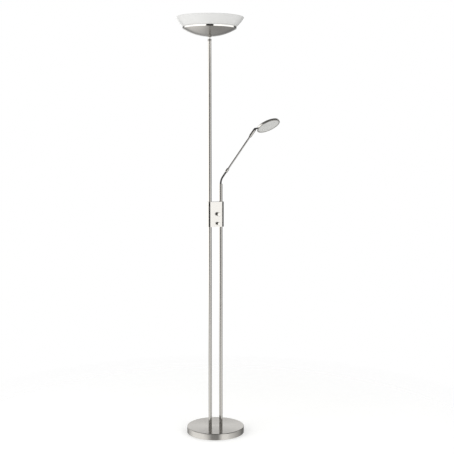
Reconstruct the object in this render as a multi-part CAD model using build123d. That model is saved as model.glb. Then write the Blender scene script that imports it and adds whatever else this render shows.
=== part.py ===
from build123d import *
import os
from math import acos, asin, atan2, cos, degrees, hypot, pi, radians, sin, sqrt, tan

# Torchiere floor lamp with a reading light, in millimetres.
# The origin is on the floor under the middle of the base. +Z is up, the two poles stand on the
# X axis, and the knobs and the user are on the -Y side.

# Clearances, how far a cut runs past a wall, and how far a thread stands past its nut
FIT = 0.05
GAP = 0.3
FLAT_GAP = 0.1
CUT = 1.0
THREAD_END = 0.8

# Base: pad, plate, weight and pressed cover
BASE_RADIUS = 125.0
BASE_HEIGHT = 28.0
COVER_WALL = 1.2
COVER_EDGE = 2.4
COVER_LIFT = 0.8
PAD_THICKNESS = 1.5
PAD_INSET = 4.0
PLATE_THICKNESS = 2.5
WEIGHT_THICKNESS = 11.0
WEIGHT_INSET = 2.8
BOSS_RADIUS = 7.0
BOSS_RING_RADIUS = 90.0
BOSS_COUNT = 3
BOSS_TURN = -90.0
BASE_SCREW_RADIUS = 2.0
BASE_SCREW_HEAD_RADIUS = 4.0
BASE_SCREW_HEAD = 1.6
BASE_SCREW_LENGTH = 12.0

# Rubber gland in the back of the base
GLAND_HEIGHT = 9.2
GLAND_FLANGE_RADIUS = 4.6
GLAND_FLANGE = 1.4
GLAND_NECK_RADIUS = 3.8
GLAND_BORE_RADIUS = 3.0

# Poles
POLE_SPACING = 50.0
POLE_RADIUS = 7.5
POLE_WALL = 1.2
INSERT_LENGTH = 20.0
FOOT_NIPPLE_RADIUS = 5.0
FOOT_NIPPLE_BORE = 3.0
FOOT_NIPPLE_REACH = 18.0
FOOT_NUT_FLATS = 14.0
FOOT_NUT_THICKNESS = 4.5
FOOT_WASHER_RADIUS = 10.0
FOOT_WASHER_THICKNESS = 1.0

# Switch box round both poles
BOX_BOTTOM = 909.6
BOX_HEIGHT = 108.5
BOX_RADIUS = 13.0
BOX_WALL = 1.5
BOX_END = 7.5
SET_SCREW_RADIUS = 2.0
SET_SCREW_SINK = 0.4
BOARD_THICKNESS = 1.6
BOARD_MARGIN = 3.0
TERMINAL_HEIGHT = 12.0
TERMINAL_DEPTH = 7.0
TERMINAL_DROP = 22.0

# Dimmers and their knobs
DIMMER_RADIUS = 6.0
DIMMER_DEPTH = 7.5
DIMMER_WALL = 1.5
DIMMER_BUSH_RADIUS = 3.5
DIMMER_BUSH_REACH = 3.0
DIMMER_SHAFT_RADIUS = 2.5
DIMMER_NUT_FLATS = 9.0
DIMMER_NUT_THICKNESS = 1.8
KNOB_SHIFT = 8.2
UPPER_KNOB_DROP = 53.6
UPPER_KNOB_RADIUS = 8.5
UPPER_KNOB_LENGTH = 16.0
LOWER_KNOB_RISE = 13.9
LOWER_KNOB_RADIUS = 7.0
LOWER_KNOB_LENGTH = 15.0
KNOB_EDGE = 0.8
KNOB_CAVITY_RADIUS = 5.5
KNOB_CAVITY_DEPTH = 4.0
KNOB_CAP = 3.0

# Leads inside the poles
LEAD_RADIUS = 2.0
BUSH_LENGTH = 6.0

# Top of the left pole and the bowl
UPPER_POLE_TOP = 1701.3
CAP_RADIUS = 8.0
CAP_HEIGHT = 9.2
CAP_PLUG = 12.0
CAP_EDGE = 0.6
BOWL_NIPPLE_RADIUS = 4.0
BOWL_NIPPLE_GAP = 6.8
COLLAR_HEIGHT = 3.0
BOWL_NUT_FLATS = 12.0
BOWL_NUT_THICKNESS = 3.5
DISH_RADIUS = 113.4
DISH_DEPTH = 31.9
DISH_WALL = 1.2
RIM_OVERHANG = 1.0
RIM_WIDTH = 11.5
RIM_THICKNESS = 6.8
GASKET_THICKNESS = 0.8
GLASS_WALL = 4.0
GLASS_HEIGHT = 39.0
GLASS_FLARE = 33.8
GLASS_BULGE = 2.6
DIFFUSER_THICKNESS = 2.5
HEAT_PLATE_THICKNESS = 3.0
HEAT_PLATE_DROP = 8.0
HEAT_PLATE_CLEARANCE = 4.8
SPACER_RADIUS = 4.0
SPACER_RING_RADIUS = 70.0
SPACER_COUNT = 3
SPACER_TURN = 90.0
LED_BOARD_INSET = 2.0
LED_BOARD_THICKNESS = 1.6
LED_SIZE = 2.8
LED_HEIGHT = 0.8
LED_OUTER_INSET = 10.0
LED_OUTER_COUNT = 24
LED_INNER_INSET = 42.0
LED_INNER_COUNT = 12
DRIVER_WIDTH = 62.0
DRIVER_DEPTH = 40.0
DRIVER_HEIGHT = 8.0
SCREW_RADIUS = 1.5
SCREW_HEAD_RADIUS = 2.8
SCREW_HEAD = 1.4
SCREW_LENGTH = 8.0

# Reading arm: stub, gooseneck, ferrule, rod and holder
STUB_RADIUS = 7.5
STUB_WALL = 1.2
STUB_LENGTH = 74.8
SOCKET_LENGTH = 18.0
SOCKET_FLANGE = 2.0
NECK_RADIUS = 4.0
NECK_BORE = 2.4
NECK_SEAT = 11.0
NECK_BEND_RADIUS = 52.2
NECK_PITCH = 2.0
NECK_GROOVE = 0.4
NECK_GROOVE_WIDTH = 0.5
NECK_SLOPE = 0.3
ARM_LEAN = 36.2
FERRULE_START = 40.0
FERRULE_LENGTH = 20.0
FERRULE_RADIUS = 6.0
FERRULE_EDGE = 1.6
FERRULE_TAPER = 3.2
FERRULE_GRIP = 9.0
FERRULE_WALL = 2.0
ROD_RADIUS = 3.5
ROD_WALL = 1.1
ROD_LENGTH = 187.2
HOLDER_LENGTH = 36.0
HOLDER_RADIUS = 6.4
HOLDER_NECK_RADIUS = 5.2
HOLDER_NECK = 4.0
HOLDER_GRIP = 10.0
HOLDER_EDGE = 0.9

# Elbow between the arm and the head
FORK_BASE = 2.4
FORK_STEM_RADIUS = 3.0
FORK_STEM = 8.0
EAR_RADIUS = 4.5
EAR_THICKNESS = 2.2
ELBOW_REACH = 5.6
TONGUE_THICKNESS = 4.0
TONGUE_RADIUS = 4.3
EAR_GAP = 0.15
PIN_RADIUS = 1.5
PIN_HEAD_RADIUS = 2.4
PIN_HEAD = 0.8
BARREL_RADIUS = 3.6
BARREL_START = 4.8
BARREL_LENGTH = 3.6
STEM_RADIUS = 2.0
STEM_SEAT = 3.2
STEM_NUT_RADIUS = 2.6
STEM_NUT = 2.4

# Reading head
HEAD_ELEVATION = 14.3
HEAD_ROLL = 28.0
HEAD_RADIUS = 53.5
HEAD_WALL = 1.2
HEAD_STANDOFF = 9.0
HEAD_FACE = 5.0
HEAD_SHOULDER = 4.0
HEAD_DOME = 3.2
BEZEL_WIDTH = 3.8
BEZEL_LIP = 1.2
BEZEL_PROUD = 0.4
BEZEL_REBATE = 1.5
HEAD_DIFFUSER_THICKNESS = 1.2
HEAD_BOARD_CLEARANCE = 7.3
HEAD_BOARD_THICKNESS = 1.2
HEAD_BOARD_HEIGHT = 0.4
HEAD_BOSS_RADIUS = 3.0
HEAD_BOSS_INSET = 11.0
HEAD_BOSS_COUNT = 3
HEAD_BOSS_TURN = 60.0
HEAD_SCREW_RADIUS = 1.0
HEAD_SCREW_HEAD_RADIUS = 2.0
HEAD_SCREW_HEAD = 1.0
HEAD_SCREW_LENGTH = 3.4
HEAD_LED_OUTER_INSET = 7.0
HEAD_LED_OUTER_COUNT = 12
HEAD_LED_INNER_INSET = 25.0
HEAD_LED_INNER_COUNT = 6
HEAD_LED_HEIGHT = 0.7

# Levels and places that follow from the sizes above
PAD_TOP = PAD_THICKNESS
PLATE_TOP = PAD_TOP + PLATE_THICKNESS
WEIGHT_TOP = BASE_HEIGHT - COVER_WALL
WEIGHT_BOTTOM = WEIGHT_TOP - WEIGHT_THICKNESS
COVER_INSIDE = BASE_RADIUS - COVER_WALL
LEFT = -POLE_SPACING / 2
RIGHT = POLE_SPACING / 2
POLE_BORE = POLE_RADIUS - POLE_WALL
BOX_TOP = BOX_BOTTOM + BOX_HEIGHT
BOX_INSIDE = BOX_RADIUS - BOX_WALL
LOWER_POLE_TOP = BOX_BOTTOM + BOX_END
UPPER_TUBES_BOTTOM = BOX_TOP - BOX_END
DIMMER_BACK = -BOX_INSIDE + DIMMER_DEPTH
BOARD_BACK = DIMMER_BACK + BOARD_THICKNESS
TERMINAL_TOP = UPPER_TUBES_BOTTOM - TERMINAL_DROP
TERMINAL_BOTTOM = TERMINAL_TOP - TERMINAL_HEIGHT
UPPER_KNOB_Z = BOX_TOP - UPPER_KNOB_DROP
LOWER_KNOB_Z = BOX_BOTTOM + LOWER_KNOB_RISE

CAP_TOP = UPPER_POLE_TOP + CAP_HEIGHT
COLLAR_BOTTOM = CAP_TOP + BOWL_NIPPLE_GAP
DISH_BOTTOM = COLLAR_BOTTOM + COLLAR_HEIGHT
DISH_RIM = DISH_BOTTOM + DISH_DEPTH
RIM_TOP = DISH_RIM + RIM_THICKNESS
GLASS_FOOT = RIM_TOP + GASKET_THICKNESS
GLASS_CORNER = GLASS_FOOT + GLASS_HEIGHT
GLASS_FOOT_RADIUS = DISH_RADIUS - RIM_OVERHANG
GLASS_RIM_RADIUS = GLASS_FOOT_RADIUS + GLASS_FLARE
HEAT_PLATE_TOP = DISH_RIM - HEAT_PLATE_DROP
HEAT_PLATE_BOTTOM = HEAT_PLATE_TOP - HEAT_PLATE_THICKNESS
DRIVER_BOTTOM = HEAT_PLATE_BOTTOM - DRIVER_HEIGHT
LED_BOARD_TOP = HEAT_PLATE_TOP + LED_BOARD_THICKNESS
DISH_SPHERE = (DISH_RADIUS**2 + DISH_DEPTH**2) / (2 * DISH_DEPTH)
DISH_MIDDLE = DISH_RIM + DISH_SPHERE - DISH_DEPTH
DISH_AT_PLATE = sqrt((DISH_SPHERE - DISH_WALL) ** 2 - (DISH_MIDDLE - HEAT_PLATE_BOTTOM) ** 2)
HEAT_PLATE_RADIUS = DISH_AT_PLATE - HEAT_PLATE_CLEARANCE
LED_BOARD_RADIUS = HEAT_PLATE_RADIUS - LED_BOARD_INSET

STUB_TOP = BOX_TOP + STUB_LENGTH
STUB_BORE = STUB_RADIUS - STUB_WALL
NECK_START = STUB_TOP + FLAT_GAP + SOCKET_FLANGE
NECK_PIVOT = NECK_START + NECK_BEND_RADIUS * tan(radians(ARM_LEAN / 2))
FERRULE_END = FERRULE_START + FERRULE_LENGTH
ROD_START = FERRULE_START + FERRULE_GRIP + FERRULE_WALL
ROD_END = ROD_START + ROD_LENGTH
HOLDER_START = ROD_END - HOLDER_GRIP
HOLDER_END = HOLDER_START + HOLDER_LENGTH
FORK_TOP = HOLDER_END + FORK_BASE
ELBOW = FORK_TOP + ELBOW_REACH
HEAD_CENTRE = HEAD_STANDOFF + HEAD_RADIUS
HEAD_INSIDE = HEAD_RADIUS - HEAD_WALL
HEAD_BOARD_RADIUS = HEAD_INSIDE - HEAD_BOARD_CLEARANCE
HEAD_BOSS_RING_RADIUS = HEAD_BOARD_RADIUS - HEAD_BOSS_INSET

# Frames: the arm along its rod, the elbow along the head's stem, and the head as it is turned
LEAN = radians(ARM_LEAN)
RISE = radians(HEAD_ELEVATION)
ROLL = radians(HEAD_ROLL)
ARM_AXIS = Vector(sin(LEAN), 0, cos(LEAN))
ARM = Plane(origin=(RIGHT, 0, NECK_PIVOT), x_dir=(cos(LEAN), 0, -sin(LEAN)), z_dir=ARM_AXIS)
ELBOW_POINT = Vector(RIGHT, 0, NECK_PIVOT) + ARM_AXIS * ELBOW
STEM_AXIS = Vector(cos(RISE), 0, sin(RISE))
UPRIGHT = Vector(-sin(RISE), 0, cos(RISE))
KNUCKLE = Plane(origin=ELBOW_POINT, x_dir=STEM_AXIS, z_dir=UPRIGHT)
HEAD_BACK = UPRIGHT * cos(ROLL) + Vector(0, 1, 0) * sin(ROLL)
HEAD = Plane(origin=ELBOW_POINT, x_dir=STEM_AXIS, z_dir=HEAD_BACK)

UP = (Align.CENTER, Align.CENTER, Align.MIN)


def drum(radius, low, high, x=0.0, y=0.0):
    """A cylinder along Z between two heights."""
    return Pos(x, y, low) * Cylinder(radius, high - low, align=UP)


def ring(outer, inner, low, high, x=0.0, y=0.0):
    """A tube along Z between two heights."""
    return drum(outer, low, high, x, y) - drum(inner, low, high, x, y)


def drum_y(radius, near, far, x=0.0, z=0.0):
    """A cylinder along Y between two depths."""
    return Pos(x, near, z) * Rot(-90, 0, 0) * Cylinder(radius, far - near, align=UP)


def drum_x(radius, near, far, y=0.0, z=0.0):
    """A cylinder along X between two places."""
    return Pos(near, y, z) * Rot(0, 90, 0) * Cylinder(radius, far - near, align=UP)


def block(x0, x1, y0, y1, z0, z1):
    """A box between two corners."""
    size = Box(x1 - x0, y1 - y0, z1 - z0, align=(Align.MIN, Align.MIN, Align.MIN))
    return Pos(x0, y0, z0) * size


def hex_ring(flats, inner, low, high, x=0.0):
    """A hexagon nut along Z."""
    outline = RegularPolygon(radius=flats / 2, side_count=6, major_radius=False)
    body = Pos(x, 0, low) * extrude(outline, amount=high - low)
    return body - drum(inner, low, high, x)


def stadium(radius, low, high):
    """An upright bar with round ends, centred on both poles."""
    outline = SlotCenterToCenter(POLE_SPACING, 2 * radius)
    return Pos(0, 0, low) * extrude(outline, amount=high - low)


def around(count, radius, start=0.0):
    """Points spread evenly round a circle, as (x, y)."""
    turns = [radians(start + 360 * i / count) for i in range(count)]
    return [(radius * cos(t), radius * sin(t)) for t in turns]


def top_edge(part, length):
    """Rounds the outer edge at the top of a turned piece."""
    edge = part.edges().filter_by(GeomType.CIRCLE).group_by(Axis.Z)[-1].sort_by(SortBy.RADIUS)[-1]
    return fillet(edge, length)


def save(name, *solids):
    """Writes one sub-part, which may be a group of separate solids."""
    shape = solids[0] if len(solids) == 1 else Compound(children=list(solids))
    shape.label = name
    export_step(shape, os.path.join("parts", name + ".step"))


# ---------------------------------------------------------------- base


def base_cover():
    """Pressed steel cover, open below, with holes for the two pole nipples and the gland."""
    outside = top_edge(drum(BASE_RADIUS, COVER_LIFT, BASE_HEIGHT), COVER_EDGE)
    inside = drum(COVER_INSIDE, COVER_LIFT, WEIGHT_TOP)
    if COVER_EDGE > COVER_WALL + FIT:
        inside = top_edge(inside, COVER_EDGE - COVER_WALL)
    body = outside - inside
    for x in (LEFT, RIGHT):
        body -= drum(FOOT_NIPPLE_RADIUS + FIT, WEIGHT_TOP, BASE_HEIGHT, x)
    return body - drum_y(GLAND_NECK_RADIUS + FIT, 0, BASE_RADIUS + CUT, 0, GLAND_HEIGHT)


def boss_points():
    return around(BOSS_COUNT, BOSS_RING_RADIUS, BOSS_TURN)


def base_weight():
    """Cast iron disc with bosses down to the bottom plate."""
    body = drum(COVER_INSIDE - WEIGHT_INSET, WEIGHT_BOTTOM, WEIGHT_TOP)
    for x, y in boss_points():
        body += drum(BOSS_RADIUS, PLATE_TOP, WEIGHT_BOTTOM, x, y)
    screw_top = PAD_TOP + BASE_SCREW_LENGTH
    for x, y in boss_points():
        body -= drum(BASE_SCREW_RADIUS + FIT, PLATE_TOP, screw_top + GAP, x, y)
    for x in (LEFT, RIGHT):
        body -= drum(FOOT_NIPPLE_RADIUS + FIT, WEIGHT_BOTTOM, WEIGHT_TOP, x)
    return body


def base_plate():
    """Steel plate that closes the base from below."""
    body = drum(COVER_INSIDE - GAP, PAD_TOP, PLATE_TOP)
    for x, y in boss_points():
        body -= drum(BASE_SCREW_RADIUS + FIT, PAD_TOP, PLATE_TOP, x, y)
        body -= drum(BASE_SCREW_HEAD_RADIUS + FIT, PAD_TOP, PAD_TOP + BASE_SCREW_HEAD, x, y)
    return body


def base_screws():
    """Screws through the plate into the weight's bosses."""
    found = []
    for x, y in boss_points():
        head = drum(BASE_SCREW_HEAD_RADIUS, PAD_TOP, PAD_TOP + BASE_SCREW_HEAD, x, y)
        found.append(head + drum(BASE_SCREW_RADIUS, PAD_TOP, PAD_TOP + BASE_SCREW_LENGTH, x, y))
    return found


def cord_gland():
    """Rubber grommet with a flange on each side of the cover's wall."""
    outer = BASE_RADIUS + FIT
    inner = sqrt(COVER_INSIDE**2 - GLAND_FLANGE_RADIUS**2) - FIT
    body = drum_y(GLAND_FLANGE_RADIUS, outer, outer + GLAND_FLANGE, 0, GLAND_HEIGHT)
    body += drum_y(GLAND_FLANGE_RADIUS, inner - GLAND_FLANGE, inner, 0, GLAND_HEIGHT)
    body += drum_y(GLAND_NECK_RADIUS, inner, outer, 0, GLAND_HEIGHT)
    bore = drum_y(GLAND_BORE_RADIUS, inner - GLAND_FLANGE, outer + GLAND_FLANGE, 0, GLAND_HEIGHT)
    return body - bore


def make_base():
    save("base_pad", drum(COVER_INSIDE - PAD_INSET, 0, PAD_TOP))
    save("base_plate", base_plate())
    save("base_weight", base_weight())
    save("base_cover", base_cover())
    save("base_screws", *base_screws())
    save("cord_gland", cord_gland())


# ---------------------------------------------------------------- lower poles


def make_lower_poles():
    """Two tubes from the base to the switch box, each held by a hollow nipple and a nut."""
    washer = WEIGHT_BOTTOM - FOOT_WASHER_THICKNESS
    nut = washer - FOOT_NUT_THICKNESS
    nipples = []
    washers = []
    nuts = []
    inserts = []
    for x in (LEFT, RIGHT):
        low = nut - THREAD_END
        high = BASE_HEIGHT + FOOT_NIPPLE_REACH
        nipples.append(ring(FOOT_NIPPLE_RADIUS, FOOT_NIPPLE_BORE, low, high, x))
        hole = FOOT_NIPPLE_RADIUS + FIT
        washers.append(ring(FOOT_WASHER_RADIUS, hole, washer, WEIGHT_BOTTOM, x))
        nuts.append(hex_ring(FOOT_NUT_FLATS, hole, nut, washer, x))
        inserts.append(ring(POLE_BORE - FIT, hole, BASE_HEIGHT, BASE_HEIGHT + INSERT_LENGTH, x))
    save("foot_nipples", *nipples)
    save("foot_washers", *washers)
    save("foot_nuts", *nuts)
    save("pole_inserts", *inserts)
    save("pole_lower_left", ring(POLE_RADIUS, POLE_BORE, BASE_HEIGHT, LOWER_POLE_TOP, LEFT))
    save("pole_lower_right", ring(POLE_RADIUS, POLE_BORE, BASE_HEIGHT, LOWER_POLE_TOP, RIGHT))


# ---------------------------------------------------------------- switch box


def set_screw_places():
    """Where the four set screws sit: (x, z, radius of the tube each one presses on)."""
    low = BOX_BOTTOM + BOX_END / 2
    high = BOX_TOP - BOX_END / 2
    return [
        (LEFT, low, POLE_RADIUS),
        (RIGHT, low, POLE_RADIUS),
        (LEFT, high, POLE_RADIUS),
        (RIGHT, high, STUB_RADIUS),
    ]


def box_sleeve():
    """The box's outer skin, an oval tube open above and below."""
    body = stadium(BOX_RADIUS, BOX_BOTTOM, BOX_TOP) - stadium(BOX_INSIDE, BOX_BOTTOM, BOX_TOP)
    for z in (UPPER_KNOB_Z, LOWER_KNOB_Z):
        body -= drum_y(DIMMER_BUSH_RADIUS + FIT, -BOX_RADIUS - CUT, -BOX_INSIDE + CUT, KNOB_SHIFT, z)
    for x, z, _ in set_screw_places():
        body -= drum_y(SET_SCREW_RADIUS + FIT, 0, BOX_RADIUS + CUT, x, z)
    return body


def box_end(low, left_radius, right_radius):
    """A cast end with a socket for each tube."""
    high = low + BOX_END
    body = stadium(BOX_INSIDE - FIT, low, high)
    body -= drum(left_radius + FIT, low, high, LEFT)
    body -= drum(right_radius + FIT, low, high, RIGHT)
    for x, z, _ in set_screw_places():
        if low < z < high:
            body -= drum_y(SET_SCREW_RADIUS + FIT, 0, BOX_RADIUS, x, z)
    return body


def dimmer(z):
    """A dimmer's can, with a threaded bush through the front wall and a bore for its shaft."""
    tip = -BOX_RADIUS - DIMMER_BUSH_REACH
    body = drum_y(DIMMER_RADIUS, -BOX_INSIDE, DIMMER_BACK, KNOB_SHIFT, z)
    body += drum_y(DIMMER_BUSH_RADIUS, tip, -BOX_INSIDE, KNOB_SHIFT, z)
    back = DIMMER_BACK - DIMMER_WALL
    return body - drum_y(DIMMER_SHAFT_RADIUS + FIT, tip, back, KNOB_SHIFT, z)


def dimmer_nut(z):
    """The hexagon nut on a dimmer's bush."""
    nut = hex_ring(DIMMER_NUT_FLATS, DIMMER_BUSH_RADIUS + FIT, 0, DIMMER_NUT_THICKNESS)
    return Pos(KNOB_SHIFT, -BOX_RADIUS, z) * Rot(90, 0, 0) * nut


def make_box():
    save("box_sleeve", box_sleeve())
    save("box_bottom", box_end(BOX_BOTTOM, POLE_RADIUS, POLE_RADIUS))
    save("box_top", box_end(UPPER_TUBES_BOTTOM, POLE_RADIUS, STUB_RADIUS))
    outer = BOX_RADIUS - SET_SCREW_SINK
    screws = [
        drum_y(SET_SCREW_RADIUS, tube + FLAT_GAP, outer, x, z) for x, z, tube in set_screw_places()
    ]
    save("set_screws", *screws)
    save("bowl_dimmer", dimmer(UPPER_KNOB_Z))
    save("reading_dimmer", dimmer(LOWER_KNOB_Z))
    save("dimmer_nuts", dimmer_nut(UPPER_KNOB_Z), dimmer_nut(LOWER_KNOB_Z))
    half = POLE_SPACING / 2 + BOX_INSIDE / 2
    low = LOWER_POLE_TOP + BOARD_MARGIN
    high = UPPER_TUBES_BOTTOM - BOARD_MARGIN
    save("dimmer_board", block(-half, half, DIMMER_BACK, BOARD_BACK, low, high))
    back = BOARD_BACK + TERMINAL_DEPTH
    save("terminal_block", block(-half, half, BOARD_BACK, back, TERMINAL_BOTTOM, TERMINAL_TOP))


# ---------------------------------------------------------------- knobs


def knob(radius, length, z):
    """A round knob, hollow behind to clear the dimmer's nut and bored for the shaft."""
    back = -BOX_RADIUS - GAP
    front = -BOX_RADIUS - length
    body = drum_y(radius, front, back, KNOB_SHIFT, z)
    rim = body.edges().filter_by(GeomType.CIRCLE).group_by(Axis.Y)[0]
    body = fillet(rim, KNOB_EDGE)
    body -= drum_y(KNOB_CAVITY_RADIUS, back - KNOB_CAVITY_DEPTH, back, KNOB_SHIFT, z)
    return body - drum_y(DIMMER_SHAFT_RADIUS + FIT, front + KNOB_CAP, back, KNOB_SHIFT, z)


def dimmer_shaft(length, z):
    """The shaft that a knob turns in its dimmer."""
    front = -BOX_RADIUS - length + KNOB_CAP
    back = DIMMER_BACK - DIMMER_WALL - GAP
    return drum_y(DIMMER_SHAFT_RADIUS, front, back, KNOB_SHIFT, z)


def make_knobs():
    save("knob_upper", knob(UPPER_KNOB_RADIUS, UPPER_KNOB_LENGTH, UPPER_KNOB_Z))
    save("shaft_upper", dimmer_shaft(UPPER_KNOB_LENGTH, UPPER_KNOB_Z))
    save("knob_lower", knob(LOWER_KNOB_RADIUS, LOWER_KNOB_LENGTH, LOWER_KNOB_Z))
    save("shaft_lower", dimmer_shaft(LOWER_KNOB_LENGTH, LOWER_KNOB_Z))


# ---------------------------------------------------------------- upper pole and leads


def nipple_top():
    """How high the bowl's nipple ends inside the dish."""
    return DISH_BOTTOM + DISH_WALL + BOWL_NUT_THICKNESS + THREAD_END


def pole_cap():
    """Turned cap on the left pole, with a plug down into it and a bore for the nipple."""
    body = drum(CAP_RADIUS, UPPER_POLE_TOP, CAP_TOP, LEFT)
    body = top_edge(body, CAP_EDGE)
    body += drum(POLE_BORE - FIT, UPPER_POLE_TOP - CAP_PLUG, UPPER_POLE_TOP, LEFT)
    return body - drum(BOWL_NIPPLE_RADIUS + FIT, UPPER_POLE_TOP - CAP_PLUG, CAP_TOP, LEFT)


def make_upper_pole():
    save("pole_upper", ring(POLE_RADIUS, POLE_BORE, UPPER_TUBES_BOTTOM, UPPER_POLE_TOP, LEFT))
    save("pole_cap", pole_cap())
    low = UPPER_POLE_TOP - CAP_PLUG
    nipple = ring(BOWL_NIPPLE_RADIUS, LEAD_RADIUS + GAP, low, nipple_top(), LEFT)
    save("bowl_nipple", nipple)
    save("bowl_collar", ring(CAP_RADIUS, BOWL_NIPPLE_RADIUS + FIT, COLLAR_BOTTOM, DISH_BOTTOM, LEFT))


def low_of_top_bush():
    """The top bush sits right under the cap's plug."""
    return UPPER_POLE_TOP - CAP_PLUG - BUSH_LENGTH


def make_leads():
    """Leads inside the left pole and the stub, with rubber bushes at the tube ends."""
    ends = (LOWER_POLE_TOP - BUSH_LENGTH, UPPER_TUBES_BOTTOM, low_of_top_bush())
    bushes = [
        ring(POLE_BORE - FIT, LEAD_RADIUS + FIT, z, z + BUSH_LENGTH, LEFT) for z in ends
    ]
    save("lead_bushes", *bushes)
    foot = WEIGHT_BOTTOM - FOOT_WASHER_THICKNESS - FOOT_NUT_THICKNESS
    save("supply_lead", drum(LEAD_RADIUS, foot, TERMINAL_BOTTOM, LEFT))
    save("bowl_lead", drum(LEAD_RADIUS, TERMINAL_TOP, DRIVER_BOTTOM, LEFT))
    save("reading_lead", drum(LEAD_RADIUS, TERMINAL_TOP, STUB_TOP - SOCKET_LENGTH - GAP, RIGHT))


# ---------------------------------------------------------------- bowl


def bowl_inside(wall):
    """The part of a sphere that the dish holds, a wall's thickness in from its outside."""
    sphere = DISH_SPHERE - wall
    rise = DISH_MIDDLE - DISH_RIM
    span = degrees(acos(rise / sphere))
    arc = CenterArc((0, rise), sphere, 270, span)
    sides = Polyline((0, rise - sphere), (0, 0), (sqrt(sphere**2 - rise**2), 0))
    face = Plane.XZ * make_face(arc + sides)
    return Pos(LEFT, 0, DISH_RIM) * revolve(face, axis=Axis.Z)


def dish():
    """Spun metal dish with a hole for the nipple."""
    body = bowl_inside(0) - dish_inside()
    hole = BOWL_NIPPLE_RADIUS + FIT
    return body - drum(hole, DISH_BOTTOM - CUT, DISH_BOTTOM + DISH_DEPTH / 2, LEFT)


def dish_inside(margin=0.0):
    """The space inside the dish, made smaller by a margin."""
    return bowl_inside(DISH_WALL + margin)


def glass_section():
    """The glass wall's two arcs: their centre, radii, and angles at the foot and at the rim.

    The wall's height and flare are measured to its outer corner before the rim is rounded.
    """
    foot = (GLASS_FOOT_RADIUS, GLASS_FOOT)
    rim = (GLASS_RIM_RADIUS, GLASS_CORNER)
    chord = hypot(rim[0] - foot[0], rim[1] - foot[1])
    outer = (chord**2 / 4 + GLASS_BULGE**2) / (2 * GLASS_BULGE)
    inward = atan2(rim[1] - foot[1], rim[0] - foot[0]) + pi / 2
    depth = outer - GLASS_BULGE
    x = (foot[0] + rim[0]) / 2 + depth * cos(inward)
    z = (foot[1] + rim[1]) / 2 + depth * sin(inward)
    inner = outer - GLASS_WALL
    low_outer = atan2(foot[1] - z, foot[0] - x)
    low_inner = asin((foot[1] - z) / inner)
    high = atan2(rim[1] - z, rim[0] - x) - GLASS_WALL / 2 / outer
    return (x, z), outer, inner, low_outer, low_inner, high


def glass_foot_bore():
    """The glass wall's inner radius where it stands on its gasket."""
    centre, _, inner, _, low_inner, _ = glass_section()
    return centre[0] + inner * cos(low_inner)


def glass_bowl():
    """Flared opal glass, a thick convex wall with a round rim, open above and below."""
    centre, outer, inner, low_outer, low_inner, high = glass_section()

    def at(radius, angle):
        return (centre[0] + radius * cos(angle), centre[1] + radius * sin(angle))

    outer_arc = ThreePointArc(at(outer, low_outer), at(outer, (low_outer + high) / 2), at(outer, high))
    crest = at((outer + inner) / 2, high + GLASS_WALL / 2 / outer)
    rim_arc = ThreePointArc(at(outer, high), crest, at(inner, high))
    inner_arc = ThreePointArc(at(inner, high), at(inner, (low_inner + high) / 2), at(inner, low_inner))
    foot_line = Line(at(inner, low_inner), at(outer, low_outer))
    face = Plane.XZ * make_face(outer_arc + rim_arc + inner_arc + foot_line)
    return Pos(LEFT, 0, 0) * revolve(face, axis=Axis.Z)


def spacer_points():
    return [(LEFT + x, y) for x, y in around(SPACER_COUNT, SPACER_RING_RADIUS, SPACER_TURN)]


def make_bowl():
    save("dish", dish())
    inner = DISH_RADIUS - RIM_WIDTH
    save("rim_ring", ring(DISH_RADIUS + RIM_OVERHANG, inner, DISH_RIM, RIM_TOP, LEFT))
    bore = glass_foot_bore()
    save("bowl_gasket", ring(GLASS_FOOT_RADIUS, bore, RIM_TOP, GLASS_FOOT, LEFT))
    save("glass_bowl", glass_bowl())
    save("bowl_diffuser", drum(bore - GAP, RIM_TOP, RIM_TOP + DIFFUSER_THICKNESS, LEFT))
    nut_low = DISH_BOTTOM + DISH_WALL
    nut = hex_ring(BOWL_NUT_FLATS, BOWL_NIPPLE_RADIUS + FIT, nut_low, nut_low + BOWL_NUT_THICKNESS, LEFT)
    save("bowl_nut", nut & dish_inside(FIT))


def diode_points(outer, outer_count, inner, inner_count):
    """Where the diodes sit, evenly spread round a board's two circles."""
    far = around(outer_count, outer, 180 / outer_count)
    return far + around(inner_count, inner, 180 / inner_count)


def diode(x, y, low, high):
    """One light-emitting diode soldered to a board."""
    half = LED_SIZE / 2
    return block(x - half, x + half, y - half, y + half, low, high)


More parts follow.
